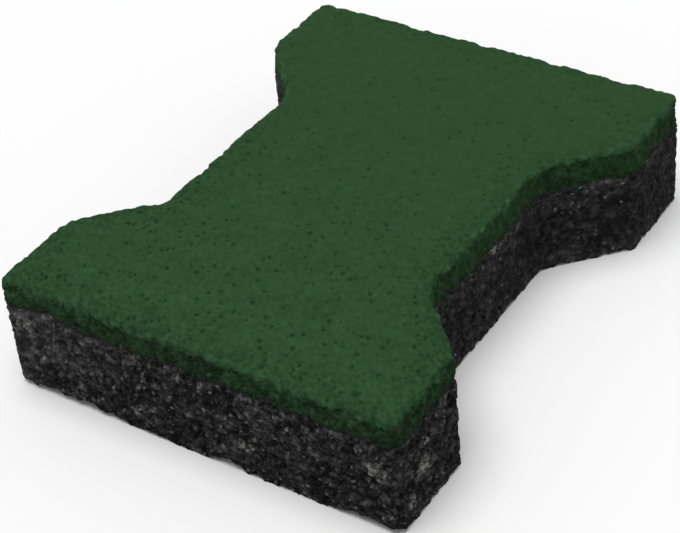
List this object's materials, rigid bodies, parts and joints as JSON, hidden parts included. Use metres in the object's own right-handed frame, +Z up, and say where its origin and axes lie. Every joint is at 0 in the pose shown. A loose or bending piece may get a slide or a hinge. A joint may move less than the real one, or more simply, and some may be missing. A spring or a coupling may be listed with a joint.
{
  "type": "rubber paver",
  "caption": "I-shaped interlocking rubber paver: a green fine-crumb wear layer with a rolled upper edge, bonded on a thick black coarse-crumb base.",
  "frame": {"origin": "centre of the underside, on the surface the paver lies on", "axes": "+X across the paver through the two side notches, +Y along it from end face to end face, +Z up out of the wearing face"},
  "size_m": [0.156, 0.2, 0.046],
  "materials": {
    "black_crumb_rubber": "matt pressed coarse granulate with pores and pale grey flecks",
    "green_crumb_rubber": "matt pressed fine granulate with small pits"
  },
  "bodies": {
    "root": {"base_layer": "black_crumb_rubber", "top_layer": "green_crumb_rubber"}
  },
  "joints": []
}
